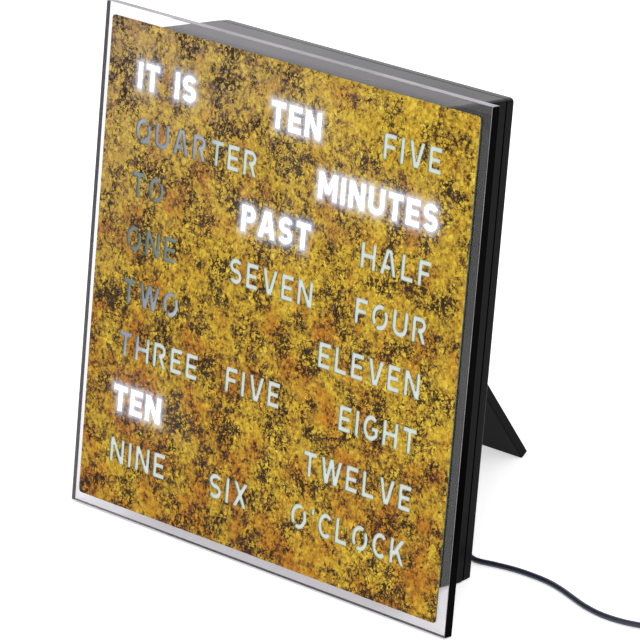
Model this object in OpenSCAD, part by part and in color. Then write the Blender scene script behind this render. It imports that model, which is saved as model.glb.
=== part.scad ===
// Word clock that leans on a fold-out strut.
// A patinated metal plate lies on a clear pane, a moulded case is taped behind the pane, and the
// case holds a light grid, an LED board and a clock circuit. A thin lead brings the power.
//
// Each piece is drawn in the clock's own frame: X to the right, Y back from the pane's front face,
// Z up from the pane's lower edge. stood() then leans it back on the table.

/* [Pane and face plate] */
// Width of the clear pane
pane_w = 200; // [180:1:240]
// Height of the clear pane
pane_h = 200; // [190:1:240]
// Thickness of the clear pane
pane_t = 4; // [3:0.5:6]
// Margin of bare pane round the face plate
plate_margin = 4.5; // [2:0.5:10]
// Thickness of the metal face plate
plate_t = 0.4; // [0.3:0.1:1.5]
// Corner radius of the face plate
plate_r = 1.5; // [0.5:0.5:4]
// Thickness of the opal film between plate and pane
film_t = 0.3; // [0.2:0.1:0.5]

/* [Case] */
// Width of the case
case_w = 150; // [140:1:170]
// Height of the case
case_h = 186; // [175:1:195]
// Height of the case's lower edge above the pane's
case_bottom = 8; // [8:0.1:12]
// Depth of the case frame, from the tape to the rear cover
case_d = 31.5; // [31.5:0.5:36]
// Wall of the case
wall = 2.5; // [2:0.1:3]
// Corner radius of the case frame
case_r = 1.2; // [1:0.1:2]
// Thickness of the bonding tape
tape_t = 1; // [0.5:0.1:1.5]
// Depth of the rear cover's rim
cover_d = 4; // [4:0.1:5]
// Skin of the rear cover
skin = 2.2; // [2:0.1:2.5]
// Corner radius of the rear cover
cover_r = 1.8; // [1.2:0.1:4]
// Rounding of the rear cover's edge
cover_edge_r = 0.8; // [0.5:0.1:1]
// Width and depth of the seam groove
seam = 0.7; // [0.3:0.1:0.8]

/* [Stand] */
// Lean of the clock from the vertical
tilt = 14.5; // [10:0.5:14.5]
// Angle between the open strut and the back
strut_angle = 41; // [38:0.5:44]
// Height of the hinge pin above the pane's lower edge
hinge_z = 130.2; // [120:0.2:140]
// Width of the strut
strut_w = 50; // [40:1:54]
// Thickness of the strut
strut_t = 4; // [3:0.1:4]
// Radius of the hinge pin
pin_r = 1; // [0.8:0.1:1.2]

/* [Light grid] */
// Wall of the light grid
grid_wall = 1.6; // [1.2:0.1:2]
// Depth of the light grid
grid_d = 19.7; // [18:0.1:20]

/* [Keys] */
// Radius of a key cap
key_r = 3.5; // [3:0.1:4.5]
// Travel of a key
key_travel = 0.5; // [0.3:0.1:0.6]
// Place of the keys across the back
key_x = -50; // [-54:1:-42]
// Height of the lower key
key_z = 60; // [50:1:80]
// Distance between the keys
key_pitch = 22; // [16:1:30]

/* [Lead] */
// Diameter of the lead
cord_d = 2.2; // [2:0.1:2.4]
// Place of the lead's exit across the back
cord_x = 36; // [34:1:38]
// Height of the exit above the case's lower edge
cord_rise = 9; // [8:0.1:10]
// Length of the strain relief outside the cover
relief_len = 7; // [6:0.5:8]

/* [Hidden] */

$fn = 48;
over = 1; // how far a cut runs past the face that it opens

// planes of the case, counted back from the pane's front face
tape_y = pane_t;
frame_y = tape_y + tape_t;
joint_y = frame_y + case_d;
rear_y = joint_y + cover_d;
skin_y = rear_y - skin;
grid_gap = 0.3; // air between pane and grid
grid_y = pane_t + grid_gap;
board_y = grid_y + grid_d;
board_t = 1.6;
parts_y = board_y + board_t; // rear face of the board, where its parts stand
case_z = case_bottom + case_h / 2;
case_top = case_bottom + case_h;
inner_w = case_w - 2 * wall;
inner_h = case_h - 2 * wall;

// posts and screws
post_r = 3;
post_inset = wall + 2.6; // from an outer face to a post's axis
post_x = case_w / 2 - post_inset;
post_z = [case_bottom + post_inset, case_top - post_inset];
side_post_x = 35;
screw_r = 1.25;
screw_fit = 0.05; // air round a screw in its bore
screw_len = 10;
screw_head_r = 2.3;
screw_head_h = 1.8;
head_sink = 2; // depth of the recess for a cover screw's head
head_fit = 0.2; // air round a head in its recess
cross_slot = [2.4, 1.6, 0.6]; // length, depth and width of the cross in a head

// light grid
fit = 0.4; // air between the grid or board and the case
grid_w = inner_w - 2 * fit;
grid_h = inner_h - 2 * fit;
notch = post_inset + post_r - wall; // from the inner wall past a post
grid_rim = notch + fit + grid_wall; // solid border that the post notches stay in
// rows of words, and the dividing walls of each row in shares of the width, lowest row first
first_row_z = case_bottom + case_h / 10.8;
row_pitch = case_h / 8.7;
DIVIDERS = [[-0.24, 0.03], [-0.11], [-0.18, 0.15], [-0.07], [-0.25, 0.2], [-0.26, 0.19], [0.01],
    [-0.19, 0.22]];
rows = len(DIVIDERS);
led_spacing = 27;
led_w = 3.5;
led_h = 2.8;
led_t = 1.9;

// legs of the chips
leg_pitch = 1.27;
leg_w = 0.42;
leg_reach = 1.4;
leg_t = 0.25;

// rear cover
lip_d = 2.5; // how far the cover's lip drops inside the case frame
lip_t = 1.2;
lip_fit = 0.2;
seat_t = 0.6; // wall added round a screw's seat
rib_z = [case_bottom + 28, case_top - 24];
rib_w = 1.5;
root = 0.1; // how far a rib or a post runs into the skin

// strut and its pocket
pocket_fit = 0.3; // air between the folded strut and the pocket's floor, and past the rear face
side_fit = 0.5;
pocket_d = strut_t + 2 * pocket_fit;
pocket_w = strut_w + 2 * side_fit;
pocket_floor = rear_y - pocket_d;
tray_wall = 2;
axis_y = rear_y - pocket_d / 2;
well_d = pocket_d + 4.5; // deeper well in which the strut's heel swings
well_floor = rear_y - well_d;
stop_gap = 0.1;
heel = (axis_y - well_floor - stop_gap - strut_t / 2 * cos(strut_angle)) / sin(strut_angle);
well_top = hinge_z + heel + side_fit;
well_bottom = hinge_z - 3;
cheek = 5; // thickness of the hinge's cheeks
pin_fit = 0.05; // air round the pin in the strut
pin_seat = 0.01; // air round the pin in the cheeks
pin_len = pocket_w + 2 * cheek - 1;

// heights above the table: the open strut's length brings its foot down to it
lean = strut_angle - tilt;
axis_height = hinge_z * cos(tilt) - (axis_y - pane_t) * sin(tilt);
strut_len = (axis_height - strut_t / 2 * sin(lean)) / cos(lean);
foot_back = (axis_y - pane_t) * cos(tilt) + hinge_z * sin(tilt) + strut_len * sin(lean)
    + strut_t / 2 * cos(lean);
front_edge = -pane_t * cos(tilt);
floor_gap = 0.4; // air between the table and the case's lower rear edge
mid_y = (front_edge + foot_back) / 2;

// keys
key_fit = 0.3;
flange_r = key_r + 1.3;
flange_t = 1;
key_rest = 0.1; // air between a key's flange and the skin
key_stand = 0.7; // how far a cap stands out of the cover
switch_size = 6;
switch_t = 3.5;
plunger_r = 1.75;
plunger_fit = 0.1;
plunger_rise = 1.6; // how far the plunger stands out of its switch
plunger_top = parts_y + switch_t + plunger_rise;
key_step = 0.4; // step round the top of a cap
key_nose_r = 1.6;
plunger_sink = 1.5; // length of the plunger inside the switch
KEYS_Z = [key_z, key_z + key_pitch];

// lead
cord_r = cord_d / 2;
cord_z = case_bottom + cord_rise;
relief_r = 3.2;
neck_r = 2.3;
relief_ribs = 4;
relief_pitch = 1.7;
relief_rib_t = 0.9;
relief_taper = 0.42; // step in radius from rib to rib
socket_z = cord_z + 13;
bend_r = 5; // bend of the lead inside the case
lift = 0.05; // air between the lead and the table

// route of the free lead on the table, from the strain relief to the coil: X, Y and height
// above where a lead that lies on the table has its middle
CORD_ROUTE = [
    [36.5, -7, 2.4], [38.9, -4, 1.6], [43.4, -2, 0.8], [49.4, -2.4, 0.2], [55.6, -5.8, 0],
    [61.5, -10.5, 0], [68.4, -13.2, 0], [76, -12, 0], [84.5, -10.7, 0], [93, -10.3, 0],
    [102, -10.7, 0], [110, -12.2, 0], [118, -14.6, 0], [127, -17.3, 0], [137, -18.8, 0],
    [148, -18.4, 0.2]
];
cord_sides = 8;
steps_per_leg = 3; // rings from one route point to the next

// tie round the coil
tie_w = 3;
tie_t = 0.5;
tie_fit = 0.15;

// coil: the lead spirals in and out again, in four layers
coil_at = [167, 2.4];
coil_r = 18.4; // outermost turn, to the middle of the lead
coil_pitch = 2.65;
coil_layers = 4;
layer_turns = 4;
coil_turns = coil_layers * layer_turns + 0.25;
coil_z = cord_r + lift + tie_t + tie_fit; // the bottom layer rides on the tie
coil_sides = 6;
loop_rings = 24;
climb = 0.5; // share of a turn in which the lead climbs a layer
tail_len = 27;
plug_z = 3.75;

// plug
neck_len = 6;
grip_w = 16;
grip_h = 2 * plug_z;
grip_len = 17;
shell_w = 12;
shell_h = 4.5;
shell_len = 12;
shell_t = 0.3;

// ---------- frames and plain shapes ----------

// leans the clock back and brings it onto the table, with the middle of its footprint at the origin
module stood()
    translate([0, -mid_y, 0])
        rotate([-tilt, 0, 0])
            translate([0, -pane_t, 0])
                children();

// an outline in X and Z, drawn from y0 back to y1
module slab(y0, y1)
    translate([0, y1, 0])
        rotate([90, 0, 0])
            linear_extrude(y1 - y0)
                children();

// a rod along Y
module rod(r, y0, y1)
    slab(y0, y1)
        circle(r);

module rounded(w, h, r) {
    square([w - 2 * r, h], center = true);
    square([w, h - 2 * r], center = true);
    for (x = [-1, 1], z = [-1, 1])
        translate([x * (w / 2 - r), z * (h / 2 - r)])
            circle(r);
}

module case_outline(inset, r)
    translate([0, case_z])
        rounded(case_w - 2 * inset, case_h - 2 * inset, r);

// rectangle between two corners
module window(x0, z0, x1, z1)
    translate([x0, z0])
        square([x1 - x0, z1 - z0]);

// all that would come nearer to the table than the case may
module below_case()
    translate([-case_w / 2 - over, pane_t, 0])
        rotate([tilt, 0, 0])
            translate([0, 0, floor_gap - case_bottom])
                cube([case_w + 2 * over, case_d + 3 * cover_d, case_bottom]);

module at_corner_posts()
    for (x = [-post_x, post_x], z = post_z)
        translate([x, 0, z])
            children();

module at_side_posts()
    for (x = [-side_post_x, side_post_x], z = post_z)
        translate([x, 0, z])
            children();

// screw with its shank towards the pane, its head's seat at y
module screw(y, len)
    difference() {
        union() {
            rod(screw_r, y - len, y + screw_head_h / 2);
            rod(screw_head_r, y, y + screw_head_h);
        }
        translate([0, y + screw_head_h, 0])
            for (turn = [0, 90])
                rotate([0, turn, 0])
                    cube(cross_slot, center = true);
    }

// ---------- front ----------

module face_plate()
    color("goldenrod")
        stood()
            slab(-film_t - plate_t, -film_t)
                translate([0, pane_h / 2])
                    rounded(pane_w - 2 * plate_margin, pane_h - 2 * plate_margin, plate_r);

module diffuser_film()
    color("white")
        stood()
            slab(-film_t, 0)
                translate([0, pane_h / 2])
                    square([pane_w - 2 * plate_margin - 1, pane_h - 2 * plate_margin - 1], center = true);

module clear_pane()
    color("lightblue", 0.4)
        stood()
            slab(0, pane_t)
                translate([0, pane_h / 2])
                    square([pane_w, pane_h], center = true);

module bonding_tape()
    color("black")
        stood()
            slab(tape_y, frame_y)
                difference() {
                    case_outline(0, case_r);
                    case_outline(wall, case_r / 2);
                }

// ---------- light grid and board ----------

// outline of grid and board, notched for the corner posts
module board_outline()
    difference() {
        translate([0, case_z])
            square([grid_w, grid_h], center = true);
        for (x = [-1, 1], z = [-1, 1])
            translate([x * inner_w / 2, case_z + z * inner_h / 2])
                square(2 * (notch + fit), center = true);
    }

function row_z(i) = first_row_z + i * row_pitch;
function row_low(i) = i == 0 ? case_z - grid_h / 2 + grid_rim : row_z(i) - (row_pitch - grid_wall) / 2;
function row_high(i) = i == rows - 1 ? case_z + grid_h / 2 - grid_rim
    : row_z(i) + (row_pitch - grid_wall) / 2;
// the ends of row i and its dividing walls, from left to right
function row_stops(i) = let (side = (grid_w - grid_wall) / 2) concat([-side], case_w * DIVIDERS[i], [side]);

module light_grid()
    color("whitesmoke")
        stood()
            slab(grid_y, board_y)
                difference() {
                    board_outline();
                    for (i = [0:rows - 1])
                        let (stops = row_stops(i))
                            for (k = [0:len(stops) - 2])
                                window(stops[k] + grid_wall / 2, row_low(i),
                                    stops[k + 1] - grid_wall / 2, row_high(i));
                    for (x = [-side_post_x, side_post_x], z = [-1, 1])
                        translate([x, case_z + z * inner_h / 2])
                            square(2 * (notch + fit), center = true);
                    // lightening pockets in the rims, between the posts
                    for (x = [[-60, -45], [-25, 25], [45, 60]], z = [-1, 1])
                        let (mid = case_z + z * (grid_h - grid_rim) / 2, half = grid_rim / 2 - grid_wall)
                            window(x[0], mid - half, x[1], mid + half);
                }

module led_board()
    color("darkgreen")
        stood()
            difference() {
                slab(board_y, parts_y)
                    board_outline();
                at_side_posts()
                    rod(screw_r + screw_fit, board_y - over, parts_y + over);
            }

// places for the LEDs: one or more in the middle of each cell
module leds()
    color("ivory")
        stood()
            for (i = [0:rows - 1])
                let (stops = row_stops(i), z = (row_low(i) + row_high(i)) / 2)
                    for (k = [0:len(stops) - 2])
                        let (cell = stops[k + 1] - stops[k], count = max(1, round(cell / led_spacing)))
                            for (n = [0:count - 1])
                                translate([stops[k] + cell * (n + 0.5) / count, 0, z])
                                    led();

module led()
    difference() {
        slab(board_y - led_t, board_y)
            square([led_w, led_h], center = true);
        rod(1.1, board_y - led_t - over, board_y - led_t + 0.4);
    }

// chip with a row of gull-wing legs along each side
module chip(w, h, t, legs)
    union() {
        slab(parts_y + 0.15, parts_y + t)
            square([w, h], center = true);
        for (side = [-1, 1], n = [0:legs - 1])
            translate([side * (w + leg_reach) / 2, 0, (n - (legs - 1) / 2) * leg_pitch])
                union() {
                    slab(parts_y, parts_y + leg_t)
                        square([leg_reach, leg_w], center = true);
                    slab(parts_y, parts_y + t / 2 + 0.2)
                        translate([-side * 0.45, 0])
                            square([0.6, leg_w], center = true);
                }
    }

module controller_chip()
    color("dimgray")
        stood()
            translate([48, 0, 100])
                chip(7.5, 17.8, 2.3, 14);

module driver_chips()
    color("dimgray")
        stood()
            for (z = [78, 122, 146])
                translate([48, 0, z])
                    chip(4, 9.9, 1.6, 8);

module clock_crystal()
    color("silver")
        stood()
            translate([62, 0, 100])
                slab(parts_y, parts_y + 3.5) {
                    square([4.6, 6.4], center = true);
                    for (z = [-3.2, 3.2])
                        translate([0, z])
                            circle(2.3);
                }

module capacitors()
    color("silver")
        stood()
            for (z = [60, 48])
                translate([50, 0, z]) {
                    rod(3.15, parts_y + 1, parts_y + 7.7);
                    slab(parts_y, parts_y + 1)
                        rounded(6.6, 6.6, 0.8);
                }

module lead_socket()
    color("white")
        stood()
            translate([cord_x, 0, socket_z])
                difference() {
                    slab(parts_y, parts_y + 5.8)
                        square([7.4, 6], center = true);
                    translate([0, parts_y + 2.9, -3])
                        cube([5, 3.6, 2 * 2], center = true);
                }

module key_switches()
    color("black")
        stood()
            for (z = KEYS_Z)
                translate([key_x, 0, z])
                    difference() {
                        slab(parts_y, parts_y + switch_t)
                            square(switch_size, center = true);
                        rod(plunger_r + plunger_fit, parts_y + switch_t - plunger_sink - key_travel - 0.1,
                            parts_y + switch_t + over);
                    }

module board_screws()
    color("silver")
        stood()
            at_side_posts()
                screw(parts_y, 8);

// ---------- case ----------

module case_frame()
    color([0.13, 0.13, 0.14])
        stood()
            difference() {
                union() {
                    slab(frame_y, joint_y - seam)
                        difference() {
                            case_outline(0, case_r);
                            case_outline(wall, case_r / 2);
                        }
                    slab(joint_y - seam - over, joint_y)
                        difference() {
                            case_outline(seam, case_r);
                            case_outline(wall, case_r / 2);
                        }
                    at_corner_posts()
                        rod(post_r, frame_y, joint_y);
                    at_side_posts()
                        rod(post_r, frame_y, board_y);
                }
                at_corner_posts()
                    rod(screw_r + screw_fit, joint_y - screw_len, joint_y + over);
                at_side_posts()
                    rod(screw_r + screw_fit, board_y - 8, board_y + over);
                // relief for the folded strut
                slab(pocket_floor, joint_y + over)
                    window(-pocket_w / 2, case_bottom - over, pocket_w / 2, case_bottom + wall + 0.1);
                below_case();
            }

// a quarter disc
module quarter(r)
    intersection() {
        circle(r);
        square(r);
    }

// slab with rounded corners, and its rear edge rounded all the way round
module soft_slab(w, h, corner, edge, y0, y1) {
    slab(y0, y1 - edge)
        rounded(w, h, corner);
    slab(y1 - edge, y1)
        difference() {
            square([w - 2 * edge, h - 2 * edge], center = true);
            for (x = [-1, 1], z = [-1, 1])
                translate([x * (w / 2 - edge), z * (h / 2 - edge)])
                    square(2 * (corner - edge), center = true);
        }
    for (turn = [0:3])
        let (long = turn % 2 == 0 ? w : h, far = turn % 2 == 0 ? h : w)
            rotate([0, turn * 90, 0])
                translate([0, y1 - edge, 0]) {
                    translate([corner - long / 2, 0, far / 2 - edge])
                        rotate([90, 0, 90])
                            linear_extrude(long - 2 * corner)
                                quarter(edge);
                    translate([long / 2 - corner, 0, far / 2 - corner])
                        rotate([-90, 0, 0])
                            rotate_extrude(angle = 90, start = 270)
                                union() {
                                    square([corner - edge, edge]);
                                    translate([corner - edge, 0])
                                        quarter(edge);
                                }
                }
}

module lip_outline(inset)
    translate([0, case_z])
        square([inner_w - 2 * (lip_fit + inset), inner_h - 2 * (lip_fit + inset)], center = true);

module rear_cover()
    color([0.09, 0.09, 0.1])
        stood()
            difference() {
                union() {
                    difference() {
                        union() {
                            translate([0, 0, case_z])
                                soft_slab(case_w, case_h, cover_r, cover_edge_r, joint_y, rear_y);
                            // lip that drops inside the case frame
                            slab(joint_y - lip_d, joint_y + over)
                                lip_outline(0);
                        }
                        slab(joint_y - lip_d - over, skin_y)
                            lip_outline(lip_t);
                        at_corner_posts()
                            rod(post_r + 0.3, joint_y - lip_d - over, joint_y);
                    }
                    // seats for the screws
                    at_corner_posts()
                        rod(post_r + seat_t, joint_y, skin_y + root);
                    // tray of the strut's pocket, with the hinge's cheeks and the heel's well
                    slab(pocket_floor - tray_wall, skin_y + root)
                        window(-pocket_w / 2 - tray_wall, case_bottom + wall + 0.2,
                            pocket_w / 2 + tray_wall, well_top + tray_wall);
                    slab(well_floor - tray_wall, skin_y + root)
                        window(-pocket_w / 2 - cheek, well_bottom - tray_wall,
                            pocket_w / 2 + cheek, well_top + tray_wall);
                    // stiffening ribs across the skin
                    for (z = rib_z, side = [-1, 1])
                        slab(skin_y - rib_w, skin_y + root)
                            window(side == 1 ? pocket_w / 2 : 1 - inner_w / 2, z,
                                side == 1 ? inner_w / 2 - 1 : -pocket_w / 2, z + rib_w);
                }
                slab(pocket_floor, rear_y + over)
                    window(-pocket_w / 2, case_bottom - over, pocket_w / 2, well_top);
                slab(well_floor, rear_y + over)
                    window(-pocket_w / 2, well_bottom, pocket_w / 2, well_top);
                translate([0, axis_y, hinge_z])
                    rotate([0, 90, 0])
                        cylinder(r = pin_r + pin_seat, h = pin_len, center = true);
                at_corner_posts() {
                    rod(screw_r + screw_fit, joint_y - over, rear_y + over);
                    rod(screw_head_r + head_fit, rear_y - head_sink, rear_y + over);
                }
                for (z = KEYS_Z)
                    translate([key_x, 0, z])
                        rod(key_r + key_fit, skin_y - over, rear_y + over);
                translate([cord_x, 0, cord_z])
                    rod(neck_r, skin_y - over, rear_y + over);
                below_case();
            }

module cover_screws()
    color("silver")
        stood()
            at_corner_posts()
                screw(rear_y - head_sink, screw_len);

// ---------- stand ----------

module hinge_pin()
    color("silver")
        stood()
            translate([0, axis_y, hinge_z])
                rotate([0, 90, 0])
                    cylinder(r = pin_r, h = pin_len - 0.2, center = true);

module strut()
    color([0.08, 0.08, 0.09])
        stood()
            translate([0, axis_y, hinge_z])
                rotate([strut_angle, 0, 0])
                    difference() {
                        translate([0, 0, -strut_len])
                            linear_extrude(strut_len + heel)
                                rounded(strut_w, strut_t, 0.6);
                        rotate([0, 90, 0])
                            cylinder(r = pin_r + pin_fit, h = strut_w + 2 * over, center = true);
                    }

// ---------- keys ----------

module key(z)
    translate([key_x, 0, z])
        union() {
            rod(key_r, skin_y - key_rest - flange_t, rear_y + key_stand - key_step);
            rod(key_r - key_step, rear_y, rear_y + key_stand);
            rod(flange_r, skin_y - key_rest - flange_t, skin_y - key_rest);
            rod(key_nose_r, plunger_top, skin_y - key_rest);
        }

module plunger(z)
    translate([key_x, 0, z])
        rod(plunger_r, parts_y + switch_t - plunger_sink, plunger_top);

module hour_key()
    color("gray")
        stood()
            key(KEYS_Z[1]);

module hour_plunger()
    color("ivory")
        stood()
            plunger(KEYS_Z[1]);

module minute_key()
    color("gray")
        stood()
            key(KEYS_Z[0]);

module minute_plunger()
    color("ivory")
        stood()
            plunger(KEYS_Z[0]);

// ---------- lead ----------

// ribbed, tapered sleeve pressed into the cover
module strain_relief()
    color([0.1, 0.1, 0.12])
        stood()
            translate([cord_x, 0, cord_z])
                union() {
                    rod(relief_r + 0.6, skin_y - 1.5, skin_y);
                    rod(neck_r - 0.02, skin_y - 1, rear_y + 0.5);
                    translate([0, rear_y, 0])
                        rotate([-90, 0, 0])
                            cylinder(r1 = relief_r - 0.6, r2 = cord_r + 0.3, h = relief_len);
                    for (n = [0:relief_ribs - 1])
                        rod(relief_r - n * relief_taper, rear_y + n * relief_pitch,
                            rear_y + n * relief_pitch + relief_rib_t);
                }

module inner_lead()
    color([0.1, 0.1, 0.2])
        stood()
            translate([cord_x, 0, 0]) {
                lead_y = parts_y + 2.9;
                translate([0, 0, cord_z])
                    rod(cord_r, lead_y + bend_r, skin_y - 1.5);
                translate([0, lead_y + bend_r, cord_z + bend_r])
                    rotate([0, -90, 0])
                        rotate_extrude(angle = 90, start = 180)
                            translate([bend_r, 0])
                                circle(cord_r);
                translate([0, lead_y, cord_z + bend_r])
                    cylinder(r = cord_r, h = socket_z - 1 - cord_z - bend_r);
            }

// where a point of the clock's own frame stands in the room
function stood_at(p) = [
    p[0],
    (p[1] - pane_t) * cos(tilt) + p[2] * sin(tilt) - mid_y,
    p[2] * cos(tilt) - (p[1] - pane_t) * sin(tilt)
];

// smooth curve through four points, t from 0 to 1 between the middle two
function between(a, b, c, d, t) =
    0.5 * (2 * b + (c - a) * t + (2 * a - 5 * b + 4 * c - d) * t * t
    + (3 * b - a - 3 * c + d) * t * t * t);

function smooth(points) = let (last = len(points) - 1) concat(
    [for (i = [0:last - 1], k = [0:steps_per_leg - 1])
        between(points[max(i - 1, 0)], points[i], points[i + 1], points[min(i + 2, last)],
            k / steps_per_leg)],
    [points[last]]);

// tube along a path: rings square to the path, one solid
module tube(path, r, sides) {
    last = len(path) - 1;
    function along(i) = path[min(i + 1, last)] - path[max(i - 1, 0)];
    function ring(i) = let (
        ahead = along(i) / norm(along(i)),
        side = cross(ahead, [0, 0, 1]) / norm(cross(ahead, [0, 0, 1])),
        up = cross(side, ahead)
    ) [for (k = [0:sides - 1]) path[i] + r * (cos(k * 360 / sides) * side + sin(k * 360 / sides) * up)];
    rings = [for (i = [0:last]) each ring(i)];
    walls = [for (i = [0:last - 1], k = [0:sides - 1])
        let (a = i * sides + k, b = i * sides + (k + 1) % sides)
            each [[a, b, b + sides], [a, b + sides, a + sides]]];
    front = [for (k = [1:sides - 2]) [0, k + 1, k]];
    back = [for (k = [1:sides - 2]) [last * sides, last * sides + k, last * sides + k + 1]];
    polyhedron(rings, concat(walls, front, back));
}

function on_table(points) = [for (p = points) p + [0, 0, cord_r + lift]];
coil_start = [coil_at[0], coil_at[1] - coil_r, coil_z];
cord_start = stood_at([cord_x, rear_y + relief_len, cord_z]);
cord_ahead = [0, cos(tilt), -sin(tilt)];
cord_path = concat(
    [cord_start, cord_start + cord_d * cord_ahead],
    smooth(concat([cord_start + 2 * cord_d * cord_ahead], on_table(CORD_ROUTE),
        [coil_start - [3 * cord_d, 0, 0]])),
    [coil_start - [cord_d, 0, 0]]);

module cord()
    color([0.1, 0.1, 0.2])
        tube(cord_path, cord_r, cord_sides);

// the coil's radius and height after u turns
function coil_leg(u) = min(floor(u / layer_turns), coil_layers - 1);
function coil_radius(u) = let (leg = coil_leg(u), done = u - leg * layer_turns)
    coil_r - coil_pitch * (leg % 2 == 0 ? done : layer_turns - done);
function ease(t) = let (s = max(0, min(1, t))) s * s * (3 - 2 * s);
function coil_height(u) = coil_z + coil_pitch * (ease((u - layer_turns) / climb + 0.5)
    + ease((u - 2 * layer_turns) / climb + 0.5) + ease((u - 3 * layer_turns) / climb + 0.5));
function coil_point(u) = [
    coil_at[0] + coil_radius(u) * cos(360 * u - 90),
    coil_at[1] + coil_radius(u) * sin(360 * u - 90),
    coil_height(u)
];
coil_top = coil_height(coil_turns);
coil_end = coil_point(coil_turns);
coil_steps = coil_turns * loop_rings;
tail_steps = 9;
coil_path = concat(
    [coil_start - [cord_d, 0, 0]],
    [for (i = [0:coil_steps]) coil_point(i / loop_rings)],
    [for (i = [1:tail_steps]) let (s = i / tail_steps * (tail_len - cord_d))
        [coil_end[0], coil_end[1] + s, coil_top + (plug_z - coil_top) * ease((s - 4) / (tail_len - 9))]],
    [[coil_end[0], coil_end[1] + tail_len, plug_z]]);
plug_start = coil_path[len(coil_path) - 1];

function path_length(path, from, to) = from >= to ? 0
    : norm(path[from + 1] - path[from]) + path_length(path, from + 1, to);
// least distance between two stretches of the coil that are at least half a turn apart
function coil_gap() = min([for (i = [0:2:coil_steps]) min([for (j = [i + loop_rings / 2:1:i + 5 * loop_rings])
    j < len(coil_path) ? norm(coil_path[i] - coil_path[j]) : 100])]) - cord_d;

module cord_coil()
    color([0.1, 0.1, 0.2]) {
        echo("least gap in the coil", coil_gap());
        echo("length of the lead", path_length(cord_path, 0, len(cord_path) - 1)
            + path_length(coil_path, 0, len(coil_path) - 1));
        tube(coil_path, cord_r, coil_sides);
    }

// band round the coil's bundle, at its left side
module coil_tie()
    color("black") {
        inner = coil_r - coil_pitch * layer_turns - cord_r - 0.3;
        outer = coil_r + cord_r + 0.3;
        top = coil_z + (coil_layers - 1) * coil_pitch + cord_r + tie_fit;
        bottom = lift + tie_t;
        translate([coil_at[0] - (inner + outer) / 2, coil_at[1] + tie_w / 2, (top + bottom) / 2])
            rotate([90, 0, 0])
                linear_extrude(tie_w)
                    difference() {
                        rounded(outer - inner + 2 * tie_t, top - bottom + 2 * tie_t, 1.2);
                        rounded(outer - inner, top - bottom, 0.7);
                    }
    }

// ---------- plug ----------

module plug_grip()
    color([0.1, 0.1, 0.12])
        translate(plug_start)
            union() {
                rotate([-90, 0, 0])
                    cylinder(r1 = cord_r + 0.4, r2 = 3, h = neck_len);
                translate([0, neck_len + grip_len, 0])
                    rotate([90, 0, 0])
                        linear_extrude(grip_len)
                            rounded(grip_w, grip_h, 2.2);
            }

module plug_shell()
    color("silver")
        translate(plug_start + [0, neck_len + grip_len, 0])
            difference() {
                translate([0, shell_len / 2, 0])
                    cube([shell_w, shell_len, shell_h], center = true);
                translate([0, shell_len / 2 + shell_t, 0])
                    cube([shell_w - 2 * shell_t, shell_len, shell_h - 2 * shell_t], center = true);
                for (x = [-1, 1])
                    translate([x * 2.8, 6, shell_h / 2])
                        cube([2.4, 2.4, 4 * shell_t], center = true);
            }

module plug_tongue()
    color("white")
        translate(plug_start + [0, neck_len + grip_len + shell_t, -0.2])
            translate([0, (shell_len - 1) / 2, -shell_h / 2 + shell_t + 0.2 + 0.95])
                cube([shell_w - 2 * shell_t - 0.2, shell_len - 1, 1.9], center = true);

face_plate();
diffuser_film();
clear_pane();
bonding_tape();
light_grid();
led_board();
leds();
controller_chip();
driver_chips();
clock_crystal();
capacitors();
lead_socket();
key_switches();
board_screws();
case_frame();
rear_cover();
cover_screws();
hinge_pin();
strut();
hour_key();
hour_plunger();
minute_key();
minute_plunger();
strain_relief();
inner_lead();
cord();
cord_coil();
coil_tie();
plug_grip();
plug_shell();
plug_tongue();
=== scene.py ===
import math

import bmesh
import bpy
from mathutils import Matrix, Vector, bvhtree
from mathutils.geometry import delaunay_2d_cdt


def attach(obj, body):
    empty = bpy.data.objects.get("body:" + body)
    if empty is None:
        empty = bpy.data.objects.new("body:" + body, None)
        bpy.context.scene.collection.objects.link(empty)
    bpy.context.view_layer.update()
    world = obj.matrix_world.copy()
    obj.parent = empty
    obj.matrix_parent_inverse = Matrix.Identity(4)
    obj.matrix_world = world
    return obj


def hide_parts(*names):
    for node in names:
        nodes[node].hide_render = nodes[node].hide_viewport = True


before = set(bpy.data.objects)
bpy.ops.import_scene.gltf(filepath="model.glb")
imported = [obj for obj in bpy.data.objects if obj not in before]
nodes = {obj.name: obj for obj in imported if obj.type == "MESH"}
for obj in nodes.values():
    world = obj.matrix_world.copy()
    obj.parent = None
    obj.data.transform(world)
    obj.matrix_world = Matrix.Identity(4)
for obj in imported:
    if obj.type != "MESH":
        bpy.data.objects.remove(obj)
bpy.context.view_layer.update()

# ---------------------------------------------------------------------------------------------
# The studio: a long lens looks down on the clock from its right, over a white sweep of paper.
# One large soft box hangs over the right, a smaller one fills from the left, and white walls
# all round show in the polished pane and on the black plastic. All sizes here are in metres.


def tone(code):
    """A colour written as an sRGB hex value, in the linear values that the shaders use."""
    parts = [int(code[i : i + 2], 16) / 255 for i in (0, 2, 4)]
    linear = [c / 12.92 if c <= 0.04045 else ((c + 0.055) / 1.055) ** 2.4 for c in parts]
    return (*linear, 1.0)


def add(tree, kind, inputs=None, **settings):
    """Adds one node. An input given as a socket is linked, and any other is set."""
    made = tree.nodes.new(kind)
    for key, value in settings.items():
        setattr(made, key, value)
    for key, value in (inputs or {}).items():
        if isinstance(value, bpy.types.NodeSocket):
            tree.links.new(value, made.inputs[key])
        else:
            made.inputs[key].default_value = value
    return made


def surface(name, **inputs):
    """A new material with one Principled shader, and its node tree."""
    made = bpy.data.materials.new(name)
    made.use_nodes = True
    shader = made.node_tree.nodes["Principled BSDF"]
    for key, value in inputs.items():
        shader.inputs[key.replace("_", " ")].default_value = value
    return made, made.node_tree, shader


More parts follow.
